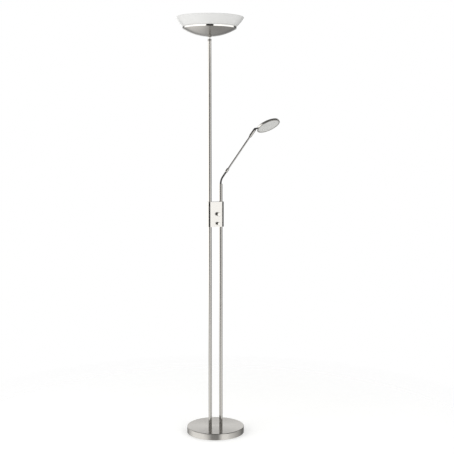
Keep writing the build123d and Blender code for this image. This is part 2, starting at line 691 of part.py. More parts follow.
def make_bowl_lights():
    """Heat plate on three spacers, with the board and its diodes, the screws and the driver."""
    plate = drum(HEAT_PLATE_RADIUS, HEAT_PLATE_BOTTOM, HEAT_PLATE_TOP, LEFT)
    board = drum(LED_BOARD_RADIUS, HEAT_PLATE_TOP, LED_BOARD_TOP, LEFT)
    spacers = []
    screws = []
    for x, y in spacer_points():
        plate -= drum(SCREW_RADIUS + FIT, HEAT_PLATE_BOTTOM, HEAT_PLATE_TOP, x, y)
        board -= drum(SCREW_RADIUS + FIT, HEAT_PLATE_TOP, LED_BOARD_TOP, x, y)
        tip = LED_BOARD_TOP - SCREW_LENGTH
        post = drum(SPACER_RADIUS, DISH_BOTTOM, HEAT_PLATE_BOTTOM, x, y) & dish_inside(FIT)
        spacers.append(post - drum(SCREW_RADIUS + FIT, tip - GAP, HEAT_PLATE_BOTTOM, x, y))
        screw = drum(SCREW_RADIUS, tip, LED_BOARD_TOP, x, y)
        head = drum(SCREW_HEAD_RADIUS, LED_BOARD_TOP, LED_BOARD_TOP + SCREW_HEAD, x, y)
        screws.append(screw + head)
    save("heat_plate", plate)
    save("plate_spacers", *spacers)
    outer = LED_BOARD_RADIUS - LED_OUTER_INSET
    inner = LED_BOARD_RADIUS - LED_INNER_INSET
    for x, y in diode_points(outer, LED_OUTER_COUNT, inner, LED_INNER_COUNT):
        board += diode(LEFT + x, y, LED_BOARD_TOP, LED_BOARD_TOP + LED_HEIGHT)
    save("led_board", board)
    save("plate_screws", *screws)
    x0 = LEFT - DRIVER_WIDTH / 2
    x1 = LEFT + DRIVER_WIDTH / 2
    y1 = DRIVER_DEPTH / 2
    save("led_driver", block(x0, x1, -y1, y1, DRIVER_BOTTOM, HEAT_PLATE_BOTTOM))


# ---------------------------------------------------------------- reading arm


def neck_path():
    """The gooseneck's line: straight in its socket, one bend, then straight to the ferrule."""
    low = STUB_TOP - NECK_SEAT
    reach = NECK_BEND_RADIUS * tan(LEAN / 2)
    tip = Vector(RIGHT, 0, NECK_PIVOT) + ARM_AXIS * (FERRULE_START + FERRULE_GRIP)
    bend_end = Vector(RIGHT, 0, NECK_PIVOT) + ARM_AXIS * reach
    middle_turn = LEAN / 2
    middle = Vector(
        RIGHT + NECK_BEND_RADIUS * (1 - cos(middle_turn)),
        0,
        NECK_START + NECK_BEND_RADIUS * sin(middle_turn),
    )
    start = Vector(RIGHT, 0, NECK_START)
    straight = Line(Vector(RIGHT, 0, low), start)
    return straight + ThreePointArc(start, middle, bend_end) + Line(bend_end, tip)


def neck_ring(s, radius):
    """A circle round the gooseneck's line at a distance from its foot, with a steady X axis."""
    low = STUB_TOP - NECK_SEAT
    rise = NECK_START - low
    bend = NECK_BEND_RADIUS * LEAN
    turn = min(max((s - rise) / NECK_BEND_RADIUS, 0), LEAN)
    past = max(s - rise - bend, 0)
    x = RIGHT + NECK_BEND_RADIUS * (1 - cos(turn)) + past * sin(turn)
    z = low + min(s, rise) + NECK_BEND_RADIUS * sin(turn) + past * cos(turn)
    return Plane((x, 0, z), x_dir=(0, 1, 0), z_dir=(sin(turn), 0, cos(turn))) * Circle(radius)


def gooseneck():
    """Flexible wound metal hose between the stub and the ferrule, ribbed where it shows."""
    reach = NECK_BEND_RADIUS * tan(LEAN / 2)
    rise = NECK_START - STUB_TOP + NECK_SEAT
    end = rise + NECK_BEND_RADIUS * LEAN + FERRULE_START - reach
    count = int((end - rise) / NECK_PITCH)
    margin = (end - rise - count * NECK_PITCH) / 2
    rings = [neck_ring(0, NECK_RADIUS)]
    for i in range(count):
        middle = rise + margin + (i + 0.5) * NECK_PITCH
        half = NECK_GROOVE_WIDTH / 2
        rings.append(neck_ring(middle - half - NECK_SLOPE, NECK_RADIUS))
        rings.append(neck_ring(middle - half, NECK_RADIUS - NECK_GROOVE))
        rings.append(neck_ring(middle + half, NECK_RADIUS - NECK_GROOVE))
        rings.append(neck_ring(middle + half + NECK_SLOPE, NECK_RADIUS))
    rings.append(neck_ring(end + FERRULE_GRIP, NECK_RADIUS))
    body = loft(rings, ruled=True)
    section = Plane(origin=(RIGHT, 0, STUB_TOP - NECK_SEAT), z_dir=(0, 0, 1)) * Circle(NECK_BORE)
    return body - sweep(section, path=neck_path())


def neck_socket():
    """Turned bush that swivels in the stub and holds the gooseneck's foot."""
    flange = STUB_TOP + FLAT_GAP
    body = drum(STUB_BORE - FIT, STUB_TOP - SOCKET_LENGTH, flange, RIGHT)
    body += drum(STUB_RADIUS, flange, NECK_START, RIGHT)
    body -= drum(NECK_RADIUS + FIT, STUB_TOP - NECK_SEAT, NECK_START, RIGHT)
    return body - drum(NECK_BORE, STUB_TOP - SOCKET_LENGTH, STUB_TOP - NECK_SEAT, RIGHT)


def ferrule():
    """Barrel-shaped collar that joins the gooseneck to the rod."""
    body = drum(FERRULE_RADIUS, FERRULE_START, FERRULE_END)
    rims = body.edges().filter_by(GeomType.CIRCLE)
    body = chamfer(rims, FERRULE_TAPER, FERRULE_EDGE)
    body -= drum(NECK_RADIUS + FIT, FERRULE_START, FERRULE_START + FERRULE_GRIP + GAP)
    return body - drum(ROD_RADIUS + FIT, ROD_START, FERRULE_END)


def holder():
    """Slim barrel at the end of the rod."""
    body = drum(HOLDER_RADIUS, HOLDER_START + HOLDER_NECK, HOLDER_END)
    rims = body.edges().filter_by(GeomType.CIRCLE)
    body = fillet(rims, HOLDER_EDGE)
    body += drum(HOLDER_NECK_RADIUS, HOLDER_START, HOLDER_START + HOLDER_NECK + HOLDER_EDGE)
    body -= drum(ROD_RADIUS + FIT, HOLDER_START, ROD_END)
    return body - drum(FORK_STEM_RADIUS + FIT, HOLDER_END - FORK_STEM - GAP, HOLDER_END)


def ear(side):
    """One ear of the fork, on the +Y or -Y side."""
    near = TONGUE_THICKNESS / 2 + EAR_GAP
    y0, y1 = sorted((side * near, side * (near + EAR_THICKNESS)))
    body = drum_y(EAR_RADIUS, y0, y1, 0, ELBOW)
    return body + block(-EAR_RADIUS, EAR_RADIUS, y0, y1, HOLDER_END, ELBOW)


def fork():
    """Black fork in the end of the holder, with two ears for the elbow's pin."""
    wide = TONGUE_THICKNESS / 2 + EAR_GAP + EAR_THICKNESS
    base_radius = min(hypot(wide, EAR_RADIUS), HOLDER_RADIUS)
    body = drum(base_radius, HOLDER_END, FORK_TOP)
    body += drum(FORK_STEM_RADIUS, HOLDER_END - FORK_STEM, HOLDER_END)
    body += ear(1) & drum(base_radius, HOLDER_END, ELBOW + EAR_RADIUS)
    body += ear(-1) & drum(base_radius, HOLDER_END, ELBOW + EAR_RADIUS)
    return body - drum_y(PIN_RADIUS + FIT, -wide, wide, 0, ELBOW)


def elbow_pin():
    """Pin through the fork's ears, with a low head at each end."""
    wide = TONGUE_THICKNESS / 2 + EAR_GAP + EAR_THICKNESS + FIT
    body = drum_y(PIN_RADIUS, -wide, wide, 0, ELBOW)
    body += drum_y(PIN_HEAD_RADIUS, wide, wide + PIN_HEAD, 0, ELBOW)
    return body + drum_y(PIN_HEAD_RADIUS, -wide - PIN_HEAD, -wide, 0, ELBOW)


def knuckle():
    """Black elbow: a tongue on the pin and a barrel that the head's stem turns in."""
    half = TONGUE_THICKNESS / 2
    body = drum_y(TONGUE_RADIUS, -half, half)
    body += block(0, BARREL_START + FIT, -half, half, -BARREL_RADIUS, BARREL_RADIUS) & drum_x(
        BARREL_RADIUS, 0, BARREL_START + FIT
    )
    end = BARREL_START + BARREL_LENGTH
    body += drum_x(BARREL_RADIUS, BARREL_START, end)
    body -= drum_x(STEM_RADIUS + FIT, end - STEM_SEAT - GAP, end)
    return body - drum_y(PIN_RADIUS + FIT, -half, half)


def make_arm():
    save("reading_stub", ring(STUB_RADIUS, STUB_BORE, UPPER_TUBES_BOTTOM, STUB_TOP, RIGHT))
    save("neck_socket", neck_socket())
    save("gooseneck", gooseneck())
    save("ferrule", ARM.location * ferrule())
    save("rod", ARM.location * ring(ROD_RADIUS, ROD_RADIUS - ROD_WALL, ROD_START, ROD_END))
    save("holder", ARM.location * holder())
    save("fork", ARM.location * fork())
    save("elbow_pin", ARM.location * elbow_pin())
    save("knuckle", KNUCKLE.location * knuckle())


# ---------------------------------------------------------------- reading head


def dome(radius, shoulder, rise):
    """A disc from the face up to a shoulder, with a shallow dome on top, about the head's axis."""
    low = -HEAD_FACE
    curve = (radius**2 + rise**2) / (2 * rise)
    half_turn = asin(radius / curve) / 2
    middle = (curve * sin(half_turn), shoulder + rise - curve * (1 - cos(half_turn)))
    top = (0, shoulder + rise)
    arc = ThreePointArc((radius, shoulder), middle, top)
    sides = Polyline(top, (0, low), (radius, low), (radius, shoulder))
    face = Plane.XZ * make_face(arc + sides)
    return Pos(HEAD_CENTRE, 0, 0) * revolve(face, axis=Axis.Z)


def head_boss_points():
    points = around(HEAD_BOSS_COUNT, HEAD_BOSS_RING_RADIUS, HEAD_BOSS_TURN)
    return [(HEAD_CENTRE + x, y) for x, y in points]


def head_shell():
    """Shallow metal cup with a domed back and bosses for the board's screws."""
    outside = dome(HEAD_RADIUS, HEAD_SHOULDER, HEAD_DOME)
    inside = dome(HEAD_INSIDE, HEAD_SHOULDER - HEAD_WALL, HEAD_DOME)
    body = outside - inside
    board_top = HEAD_BOARD_HEIGHT + HEAD_BOARD_THICKNESS
    tip = HEAD_BOARD_HEIGHT + HEAD_SCREW_LENGTH
    roof = HEAD_SHOULDER + HEAD_DOME
    for x, y in head_boss_points():
        body += drum(HEAD_BOSS_RADIUS, board_top, roof, x, y) & outside
        body -= drum(HEAD_SCREW_RADIUS + FIT, board_top, tip + FLAT_GAP, x, y)
    wall = HEAD_STANDOFF + HEAD_WALL
    return body - drum_x(STEM_RADIUS + FIT, HEAD_STANDOFF - CUT, wall + CUT)


def head_stem():
    """Short tube that carries the head and turns in the knuckle."""
    start = BARREL_START + BARREL_LENGTH - STEM_SEAT
    wall = HEAD_CENTRE - sqrt(HEAD_INSIDE**2 - STEM_NUT_RADIUS**2)
    return drum_x(STEM_RADIUS, start, wall + STEM_NUT)


def stem_nut():
    """Nut on the stem, inside the head's wall."""
    wall = HEAD_CENTRE - sqrt(HEAD_INSIDE**2 - STEM_NUT_RADIUS**2)
    nut = drum_x(STEM_NUT_RADIUS, wall + FIT, wall + STEM_NUT)
    return nut - drum_x(STEM_RADIUS + FIT, wall, wall + STEM_NUT)


def head_bezel():
    """Ring that holds the diffuser in the head's open side."""
    low = -HEAD_FACE - BEZEL_PROUD
    lip = low + BEZEL_LIP
    high = lip + HEAD_DIFFUSER_THICKNESS
    inner = HEAD_INSIDE - BEZEL_WIDTH
    body = ring(HEAD_INSIDE - FIT, inner, low, high, HEAD_CENTRE)
    return body - drum(inner + BEZEL_REBATE, lip, high, HEAD_CENTRE)


def head_diffuser():
    """Opal disc behind the bezel's lip."""
    lip = -HEAD_FACE - BEZEL_PROUD + BEZEL_LIP
    radius = HEAD_INSIDE - BEZEL_WIDTH + BEZEL_REBATE - FIT
    return drum(radius, lip, lip + HEAD_DIFFUSER_THICKNESS, HEAD_CENTRE)


def head_board():
    """Aluminium-backed board with the head's diodes on the face side."""
    top = HEAD_BOARD_HEIGHT + HEAD_BOARD_THICKNESS
    body = drum(HEAD_BOARD_RADIUS, HEAD_BOARD_HEIGHT, top, HEAD_CENTRE)
    for x, y in head_boss_points():
        body -= drum(HEAD_SCREW_RADIUS + FIT, HEAD_BOARD_HEIGHT, top, x, y)
    low = HEAD_BOARD_HEIGHT - HEAD_LED_HEIGHT
    outer = HEAD_BOARD_RADIUS - HEAD_LED_OUTER_INSET
    inner = HEAD_BOARD_RADIUS - HEAD_LED_INNER_INSET
    for x, y in diode_points(outer, HEAD_LED_OUTER_COUNT, inner, HEAD_LED_INNER_COUNT):
        body += diode(HEAD_CENTRE + x, y, low, HEAD_BOARD_HEIGHT)
    return body


def make_head():
    place = HEAD.location
    save("head_shell", place * head_shell())
    save("head_stem", place * head_stem())
    save("stem_nut", place * stem_nut())
    save("head_bezel", place * head_bezel())
    save("head_diffuser", place * head_diffuser())
    save("head_board", place * head_board())
    screws = []
    for x, y in head_boss_points():
        low = HEAD_BOARD_HEIGHT - HEAD_SCREW_HEAD
        head = drum(HEAD_SCREW_HEAD_RADIUS, low, HEAD_BOARD_HEIGHT, x, y)
        tip = HEAD_BOARD_HEIGHT + HEAD_SCREW_LENGTH
        screws.append(place * (head + drum(HEAD_SCREW_RADIUS, HEAD_BOARD_HEIGHT, tip, x, y)))
    save("head_screws", *screws)


def describe_places():
    """Prints the joint axes, for whoever writes the joints down."""
    print("knobs z", UPPER_KNOB_Z, LOWER_KNOB_Z)
    print("neck pivot", RIGHT, 0, NECK_PIVOT)
    print("elbow", tuple(round(v, 3) for v in ELBOW_POINT))
    print("stem axis", tuple(round(v, 6) for v in STEM_AXIS))


os.makedirs("parts", exist_ok=True)
make_base()
make_lower_poles()
make_box()
make_knobs()
make_upper_pole()
make_leads()
make_bowl()
make_bowl_lights()
make_arm()
make_head()
describe_places()
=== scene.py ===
from math import cos, pi, radians, sin, sqrt

import bmesh
import bpy
from mathutils import Matrix, Vector


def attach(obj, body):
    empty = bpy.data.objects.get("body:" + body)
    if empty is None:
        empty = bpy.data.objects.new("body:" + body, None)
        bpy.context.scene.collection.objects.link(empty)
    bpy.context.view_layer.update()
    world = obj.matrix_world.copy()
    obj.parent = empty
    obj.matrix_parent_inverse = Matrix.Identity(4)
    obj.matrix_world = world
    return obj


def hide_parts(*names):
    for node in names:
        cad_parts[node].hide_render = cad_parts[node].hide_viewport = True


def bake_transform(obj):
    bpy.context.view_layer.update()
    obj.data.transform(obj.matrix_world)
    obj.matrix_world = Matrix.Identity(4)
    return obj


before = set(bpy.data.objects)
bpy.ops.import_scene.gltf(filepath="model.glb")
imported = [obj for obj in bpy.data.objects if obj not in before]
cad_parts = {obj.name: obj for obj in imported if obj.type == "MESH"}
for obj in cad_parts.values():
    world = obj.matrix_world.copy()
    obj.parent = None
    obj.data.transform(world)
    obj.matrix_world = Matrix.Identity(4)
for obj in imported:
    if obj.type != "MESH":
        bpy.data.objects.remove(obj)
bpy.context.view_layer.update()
scene = bpy.context.scene
scene.view_settings.view_transform = "Standard"

# ------------------------------------------------------------------ camera
# The lamp is seen from the left of its knobs, from four metres and at the height of the switch
# box, looking a little down, so that both the base's top and the dish's underside show.

camera_data = bpy.data.cameras.new("camera")
camera_data.sensor_width = 36
camera_data.lens = 74.085
camera_data.clip_end = 60
camera = bpy.data.objects.new("camera", camera_data)
camera.location = (-1.3777, -3.7851, 1.291)
camera.rotation_euler = (radians(90 - 5.43), 0, radians(-20.72))
scene.collection.objects.link(camera)
scene.camera = camera


# ------------------------------------------------------------------ studio
# A white sweep stands behind the lamp. Metal sees two tall white screens, at the front left and
# the front right, with a dark gap between them, and two soft lamps light everything else.


class Wire:
    """An output of a node. Reckoning with wires adds Math nodes."""

    def __init__(self, tree, node=None, socket=None):
        self.tree = tree
        self.node = node
        self.socket = socket

    def add(self, kind, settings=None, sockets=None, out=0):
        """Adds one node: its settings first, then the value or the wire of each socket."""
        node = self.tree.nodes.new("ShaderNode" + kind)
        for key, value in (settings or {}).items():
            if key == "stops":
                stops = node.color_ramp.elements
                while len(stops) < len(value):
                    stops.new(0.5)
                for stop, (place, colour) in zip(stops, value):
                    stop.position = place
                    stop.color = colour
            else:
                setattr(node, key, value)
        for key, value in (sockets or {}).items():
            if isinstance(value, Wire):
                self.tree.links.new(value.socket, node.inputs[key])
            else:
                node.inputs[key].default_value = value
        return Wire(self.tree, node, node.outputs[out] if node.outputs else None)

    def other(self, out):
        """Another output of the same node."""
        return Wire(self.tree, self.node, self.node.outputs[out])

    def into(self, wire, socket):
        """Leads this wire into a socket of another wire's node."""
        self.tree.links.new(self.socket, wire.node.inputs[socket])

    def reckon(self, operation, *values):
        return self.add("Math", {"operation": operation}, dict(enumerate(values)))

    def __add__(self, other):
        return self.reckon("ADD", self, other)

    def __sub__(self, other):
        return self.reckon("SUBTRACT", self, other)

    def __mul__(self, other):
        return self.reckon("MULTIPLY", self, other)

    def __truediv__(self, other):
        return self.reckon("DIVIDE", self, other)

    def __pow__(self, other):
        return self.reckon("POWER", self, other)

    __radd__ = __add__

    def between(self, low, high):
        """0 below low, 1 above high, and a smooth step between them."""
        settings = {"interpolation_type": "SMOOTHSTEP"}
        return self.add("MapRange", settings, {"Value": self, "From Min": low, "From Max": high})

    def towards(self, other, share):
        """This value where the share is 0, and the other one where it is 1."""
        return self.add("Mix", None, {0: share, 2: self, 3: other})


def screens(wire, bearing, stops):
    """The light that metal sees in each bearing, in degrees to the right of the camera."""
    ramp = [(place / 360 + 0.5, (light / 2, light / 2, light / 2, 1)) for place, light in stops]
    return wire.add("ValToRGB", {"stops": ramp}, {"Fac": bearing}) * 2


to_camera = Vector((-0.342, -0.940, 0))
to_right = Vector((0.940, -0.342, 0))

world = bpy.data.worlds.new("studio")
scene.world = world
world.use_nodes = True
world.node_tree.nodes.clear()
sky = Wire(world.node_tree)
heading = sky.add("TexCoord")
front = sky.add("VectorMath", {"operation": "DOT_PRODUCT"}, {0: heading, 1: to_camera}, out=1)
side = sky.add("VectorMath", {"operation": "DOT_PRODUCT"}, {0: heading, 1: to_right}, out=1)
rise = sky.add("SeparateXYZ", None, {0: heading}, out=2)
bearing = sky.reckon("ARCTAN2", side, front) / (2 * pi) + 0.5
level_screens = (
    (-180, 0.85), (-160, 1.4), (-118, 1.8), (-49, 1.8), (-43, 0.01), (12, 0.01), (22, 1.1),
    (28, 1.6), (50, 1.6), (58, 0.30), (98, 0.06), (150, 0.08), (166, 0.20), (180, 0.85),
)
high_screens = (
    (-180, 0.90), (-168, 0.10), (-142, 0.10), (-126, 1.4), (-17, 1.6), (-12, 0.03), (15, 0.03),
    (20, 1.5), (120, 1.4), (134, 0.05), (168, 0.10), (180, 0.90),
)
low_screens = (
    (-180, 0.30), (-150, 0.33), (-127, 0.70), (-100, 1.2), (-38, 1.25), (-27, 0.85), (-16, 0.42),
    (10, 0.40), (16, 0.65), (28, 1.25), (50, 1.2), (70, 0.95), (103, 0.57), (135, 0.22),
    (180, 0.25),
)
room = screens(sky, bearing, level_screens)
room = room.towards(screens(sky, bearing, high_screens), rise.between(0.09, 0.12))
room = room.towards(screens(sky, bearing, low_screens), rise.between(-0.14, -0.24))
floor_screens = (
    (-180, 0.50), (-150, 1.0), (-95, 1.15), (-40, 0.55), (0, 0.32), (60, 0.40), (120, 0.55),
    (160, 0.36), (180, 0.45),
)
ceiling_screens = (
    (-180, 0.95), (-150, 0.95), (-138, 0.30), (-60, 0.20), (60, 0.20), (138, 0.30), (150, 0.95),
    (180, 0.95),
)
room = room.towards(screens(sky, bearing, ceiling_screens), rise.between(0.16, 0.28))
room = room.towards(0.14, rise.between(0.36, 0.55))
room = room.towards(screens(sky, bearing, floor_screens), rise.between(-0.34, -0.55))
rays = sky.add("LightPath")
level = room.towards(0.60, rays.other("Is Diffuse Ray"))
level = level.towards(1.0, rays)
sky_light = sky.add("Background", None, {"Color": (1, 1, 1, 1), "Strength": level})
sky.add("OutputWorld", None, {"Surface": sky_light})

lamp_length = 2.4
lamp_level = 1.35
lamp_target = Vector((0, 0, 1.2))
soft_lamps = (("left_soft_lamp", -66, 2.3, 1.5, 20), ("right_soft_lamp", 42, 2.5, 1.3, 17))
for name, place_bearing, reach, width, power in soft_lamps:
    area = bpy.data.lights.new(name, "AREA")
    area.shape = "RECTANGLE"
    area.size = width
    area.size_y = lamp_length
    area.energy = power
    area.color = (1.0, 0.995, 0.985)
    turn = radians(place_bearing)
    stand = (to_camera * cos(turn) + to_right * sin(turn)) * reach + Vector((0, 0, lamp_level))
    aim = (lamp_target - stand).to_track_quat("-Z", "Y")
    lamp = bpy.data.objects.new(name, area)
    lamp.matrix_world = Matrix.LocRotScale(stand, aim, None)
    lamp.visible_camera = False
    lamp.visible_glossy = False
    scene.collection.objects.link(lamp)

floor_radius = 2.2
floor_mesh = bmesh.new()
bmesh.ops.create_circle(floor_mesh, cap_ends=True, radius=floor_radius, segments=96)
floor_data = bpy.data.meshes.new("floor")
floor_mesh.to_mesh(floor_data)
floor_mesh.free()
floor = bpy.data.objects.new("floor", floor_data)
floor.visible_glossy = False
scene.collection.objects.link(floor)
floor_paint = bpy.data.materials.new("pale_floor")
floor_paint.use_nodes = True
floor_paint.node_tree.nodes.clear()
pale = Wire(floor_paint.node_tree)
far = pale.add("VectorMath", {"operation": "LENGTH"}, {0: pale.add("TexCoord", out=3)}, out=1)
matt = pale.add("BsdfDiffuse", None, {"Color": (0.90, 0.90, 0.89, 1)})
glow = pale.add("Emission", None, {"Color": (1, 1, 1, 1), "Strength": 0.33})
matt = pale.add("AddShader", None, {0: matt, 1: glow})
clear = pale.add("BsdfTransparent")
shown = pale.add("MixShader", None, {0: far.between(0.55, 1.5), 1: matt, 2: clear})
pale.add("OutputMaterial", None, {"Surface": shown})
floor_data.materials.append(floor_paint)


# ------------------------------------------------------------------ base
# A pressed steel cover, plated in satin nickel, over a cast iron disc. The cover is brushed in
# rings as it spins, so its top has a fine grain round the middle and softly rounded edges.


def finish_material(name, roughness, metallic=0.0, coat=0.0, anisotropic=0.0):
    """An empty material with one Principled shader. Returns it, a wire to build on, and the shader."""
    material = bpy.data.materials.new(name)
    material.use_nodes = True
    material.node_tree.nodes.clear()
    wire = Wire(material.node_tree)
    settings = {"Roughness": roughness, "Metallic": metallic, "Coat Weight": coat}
    settings.update({"Anisotropic": anisotropic, "Anisotropic Rotation": 0.25, "IOR": 1.5})
    shader = wire.add("BsdfPrincipled", None, settings)
    wire.add("OutputMaterial", None, {"Surface": shader})
    return material, wire, shader


def own_place(wire, centre=(0, 0, 0), turn=(0, 0, 0)):
    """A point on the piece, counted from its own centre and along its own axes."""
    coords = wire.add("TexCoord", None, None, out=3)
    settings = {"Location": centre, "Rotation": turn}
    return wire.add("Mapping", {"vector_type": "TEXTURE"}, {"Vector": coords, **settings})


def noise(wire, vector, scale, detail=2.0, w=None):
    """Noise from 0 to 1, about a half on average."""
    settings = {"noise_dimensions": "3D" if w is None else "4D"}
    sockets = {"Vector": vector, "Scale": scale, "Detail": detail}
    if w is not None:
        sockets["W"] = w
    return wire.add("TexNoise", settings, sockets)


def ring_grain(wire, place, fineness):
    """Grain in rings about the piece's Z axis, as a spinning brush leaves it."""
    x = wire.add("SeparateXYZ", None, {0: place}, out=0)
    y = x.other(1)
    z = x.other(2)
    radius = (x * x + y * y + 1e-9) ** 0.5
    around = wire.add(
        "CombineXYZ", None, {0: x / radius * 1.2, 1: y / radius * 1.2, 2: z * fineness}
    )
    return noise(wire, around, 1.0, 3.0, radius * fineness)


def mix_colours(wire, share, first, second):
    settings = {"data_type": "RGBA"}
    sockets = {0: share, 6: first, 7: second}
    return wire.add("Mix", settings, sockets, out=2)


def satin_metal(name, light, dark, centre=(0, 0, 0), turn=(0, 0, 0), roughness=0.21, fineness=2600):
    """Brushed and plated metal: a fine grain in rings, faint clouds, and a little wear."""
    material, wire, shader = finish_material(name, roughness, 1.0, anisotropic=0.7)
    place = own_place(wire, centre, turn)
    grain = ring_grain(wire, place, fineness)
    clouds = noise(wire, place, 14.0, 3.0)
    wear = wire.add("NewGeometry", out="Pointiness").between(0.52, 0.60)
    share = (grain - 0.5) * 0.55 + (clouds - 0.5) * 0.7 + 0.5 + wear * 0.6
    mix_colours(wire, share, (*dark, 1), (*light, 1)).into(shader, "Base Color")
    smudges = noise(wire, place, 55.0, 2.0)
    rough = roughness + (grain - 0.5) * 0.06 + (smudges - 0.5) * 0.05 - wear * 0.04
    rough.into(shader, "Roughness")
    bump = wire.add("Bump", None, {"Strength": 0.25, "Distance": 0.00001, "Height": grain})
    bump.into(shader, "Normal")
    return material


def paint(material, *nodes):
    """Gives CAD nodes a material."""
    for node in nodes:
        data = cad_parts[node].data
        data.materials.clear()
        data.materials.append(material)


NICKEL = (0.575, 0.555, 0.520)
NICKEL_SHADE = (0.525, 0.506, 0.474)
paint(satin_metal("base_nickel", NICKEL, NICKEL_SHADE), "base_cover")


# ------------------------------------------------------------------ under the base
# A felt pad keeps the floor from scratches. Above it a zinc plated steel plate is screwed to the
# bosses of the iron weight, and a rubber gland in the back guides the supply cord in.


def speckled(name, light, dark, roughness, scale, metallic=0.0, bump=0.2, depth=0.0003):
    """A plain moulded, cast or plated finish, with fine specks and faint clouds."""
    material, wire, shader = finish_material(name, roughness, metallic)
    place = own_place(wire)
    specks = noise(wire, place, scale, 4.0)
    clouds = noise(wire, place, scale / 30, 2.0)
    share = (specks - 0.5) * 0.9 + (clouds - 0.5) * 0.6 + 0.5
    mix_colours(wire, share, (*dark, 1), (*light, 1)).into(shader, "Base Color")
    (roughness + (specks - 0.5) * 0.12).into(shader, "Roughness")
    rough = wire.add("Bump", None, {"Strength": bump, "Distance": depth, "Height": specks})
    rough.into(shader, "Normal")
    return material


felt = speckled(
    "pad_felt", (0.050, 0.050, 0.053), (0.018, 0.018, 0.020), 0.95, 2600, bump=0.9, depth=0.0008
)
paint(felt, "base_pad")
iron = speckled(
    "cast_iron", (0.110, 0.108, 0.105), (0.050, 0.049, 0.048), 0.62, 900, 0.7, 0.6, 0.0006
)
paint(iron, "base_weight")
zinc = speckled(
    "zinc_plate", (0.600, 0.605, 0.610), (0.480, 0.485, 0.495), 0.34, 420, metallic=1.0, bump=0.05
)
paint(zinc, "base_plate", "base_screws")
black_rubber = speckled(
    "black_rubber", (0.030, 0.030, 0.031), (0.014, 0.014, 0.015), 0.62, 1500, bump=0.25
)
paint(black_rubber, "cord_gland")


# ------------------------------------------------------------------ lower poles
# Two drawn steel tubes, ground and plated, stand on the cover. A hollow nipple, washer and nut
# inside the base hold the threaded insert in the foot of each one.

left_pole = (-0.025, 0, 0)
right_pole = (0.025, 0, 0)
left_nickel = satin_metal("left_pole_nickel", NICKEL, NICKEL_SHADE, left_pole, roughness=0.15)
paint(left_nickel, "pole_lower_left", "pole_upper")
right_nickel = satin_metal("right_pole_nickel", NICKEL, NICKEL_SHADE, right_pole, roughness=0.15)
paint(right_nickel, "pole_lower_right", "reading_stub")
paint(zinc, "foot_nipples", "foot_washers", "foot_nuts", "pole_inserts")


# ------------------------------------------------------------------ switch box
# An oval tube of brushed nickel grips both poles. Cast ends close it, held by grub screws at the
# back, and the two dimmers sit behind its flat front.


def lengthwise_metal(name, light, dark, roughness):
    """Plated metal brushed along its Z axis."""
    material, wire, shader = finish_material(name, roughness, 1.0)
    place = own_place(wire)
    stretched = wire.add("VectorMath", {"operation": "MULTIPLY"}, {0: place, 1: (2400, 2400, 60)})
    grain = noise(wire, stretched, 1.0, 3.0)
    clouds = noise(wire, place, 18.0, 3.0)
    share = (grain - 0.5) * 0.5 + (clouds - 0.5) * 0.6 + 0.5
    mix_colours(wire, share, (*dark, 1), (*light, 1)).into(shader, "Base Color")
    (roughness + (grain - 0.5) * 0.12).into(shader, "Roughness")
    bump = wire.add("Bump", None, {"Strength": 0.25, "Distance": 0.00001, "Height": grain})
    bump.into(shader, "Normal")
    return material


box_nickel = lengthwise_metal("box_nickel", (0.62, 0.605, 0.575), (0.57, 0.555, 0.525), 0.18)
paint(box_nickel, "box_sleeve")
cast_zinc = speckled(
    "cast_zinc", (0.520, 0.515, 0.500), (0.400, 0.396, 0.385), 0.42, 700, metallic=1.0, bump=0.15
)
paint(cast_zinc, "box_bottom", "box_top")
paint(zinc, "set_screws", "dimmer_nuts")
grey_plastic = speckled(
    "grey_plastic", (0.42, 0.42, 0.41), (0.34, 0.34, 0.335), 0.5, 600, bump=0.08
)
paint(grey_plastic, "bowl_dimmer", "reading_dimmer")
circuit_green = speckled(
    "circuit_board", (0.020, 0.150, 0.060), (0.012, 0.100, 0.040), 0.45, 300, bump=0.1
)
paint(circuit_green, "dimmer_board")
white_plastic = speckled(
    "white_plastic", (0.80, 0.80, 0.775), (0.72, 0.72, 0.70), 0.42, 700, bump=0.06
)
paint(white_plastic, "terminal_block", "led_driver")


# ------------------------------------------------------------------ knobs
# Two turned aluminium knobs in nickel finish on brass shafts. The upper one dims the bowl and
# the lower one dims the reading light.

knob_light = (0.66, 0.645, 0.61)
knob_shade = (0.58, 0.565, 0.53)
knob_shift = 0.0082
knob_turn = (pi / 2, 0, 0)
knobs = (("knob_nickel", 0.9645, "knob_upper"), ("low_knob_nickel", 0.9235, "knob_lower"))
for name, level, node in knobs:
    centre = (knob_shift, 0, level)
    paint(satin_metal(name, knob_light, knob_shade, centre, knob_turn, roughness=0.12), node)
brass = speckled(
    "turned_brass", (0.78, 0.60, 0.28), (0.68, 0.51, 0.22), 0.28, 500, metallic=1.0, bump=0.05
)
paint(brass, "shaft_upper", "shaft_lower")


# ------------------------------------------------------------------ leads
# White two-core leads run from the gland up the left pole to the box, and from there up to the
# driver in the dish and up to the reading arm. Rubber bushes keep them off the tube ends.

white_lead = speckled("white_lead", (0.74, 0.74, 0.72), (0.66, 0.66, 0.64), 0.5, 900, bump=0.1)
paint(white_lead, "supply_lead", "bowl_lead", "reading_lead")
paint(black_rubber, "lead_bushes")


# ------------------------------------------------------------------ top of the left pole
# A turned cap closes the pole. The dish stands on a polished nipple above it, between the cap
# and a plain collar, with a nut inside.

cap_nickel = satin_metal(
    "cap_nickel", (0.43, 0.415, 0.39), (0.37, 0.357, 0.335), left_pole, roughness=0.33
)
paint(cap_nickel, "pole_cap", "bowl_collar")
polished = satin_metal(
    "polished_nickel", (0.80, 0.785, 0.75), (0.74, 0.725, 0.69), left_pole, roughness=0.06
)
paint(polished, "bowl_nipple", "rim_ring")
paint(zinc, "bowl_nut")


